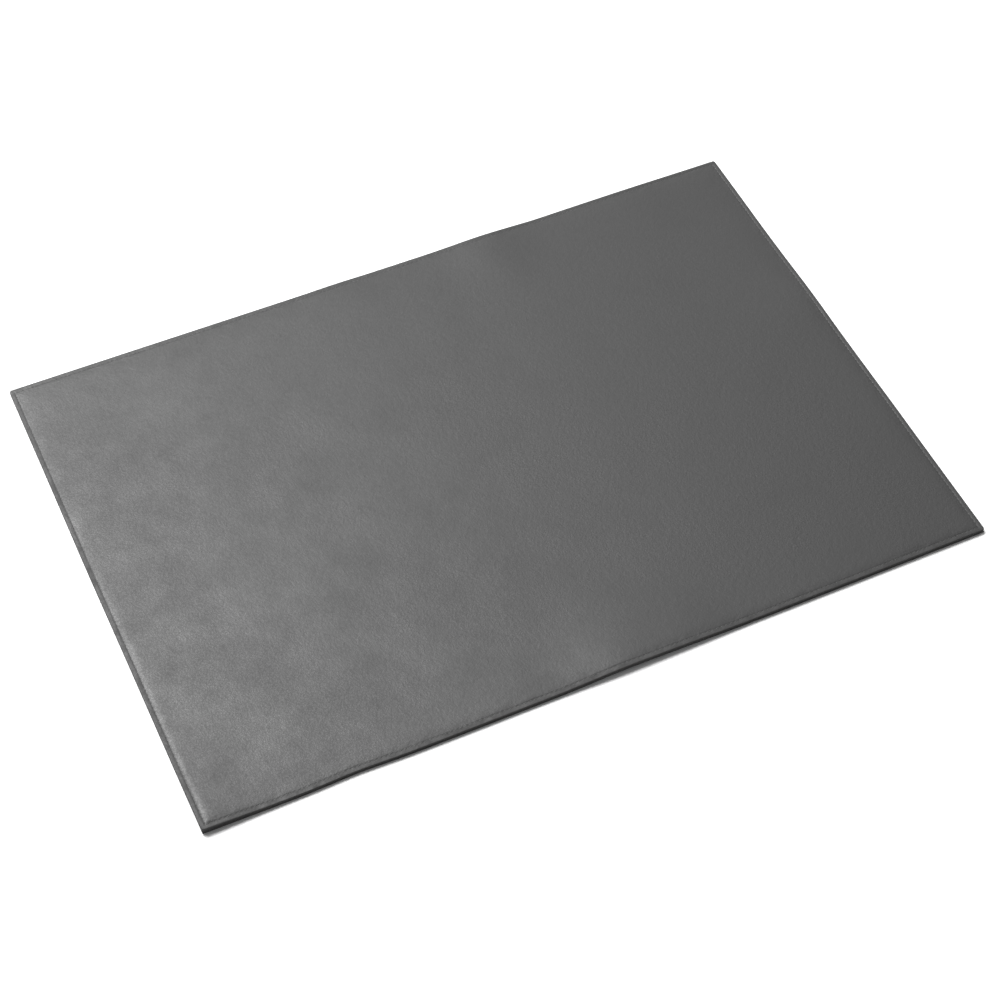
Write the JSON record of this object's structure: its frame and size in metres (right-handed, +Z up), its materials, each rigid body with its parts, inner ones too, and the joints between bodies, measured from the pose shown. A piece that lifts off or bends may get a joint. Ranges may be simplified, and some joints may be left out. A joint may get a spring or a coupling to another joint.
{
  "type": "desk mat",
  "caption": "Flat rectangular leather desk mat with a padded writing field, turned and stitched edges, a fibre board core and a non-slip backing.",
  "frame": {"origin": "middle of the mat's underside, on the surface it lies on", "axes": "+X along the long side, +Y away from the person sitting at the desk, +Z up out of the writing surface"},
  "size_m": [0.65, 0.45, 0.0045],
  "materials": {
    "leather": "black full-grain leather, satin, fine natural grain",
    "foam": "grey closed-cell foam",
    "board": "grey-brown bonded leather-fibre board",
    "infill": "kraft paper board",
    "backing": "black non-slip suede-effect microfibre",
    "thread": "black bonded polyester sewing thread",
    "tape": "natural woven reinforcing tape"
  },
  "bodies": {
    "root": {"leather_cover": "leather", "foam_interlining": "foam", "core_board": "board", "infill_sheet": "infill", "backing_sheet": "backing", "needle_thread": "thread", "bobbin_thread": "thread", "edge_tape_front": "tape", "edge_tape_back": "tape", "edge_tape_left": "tape", "edge_tape_right": "tape"}
  },
  "joints": []
}
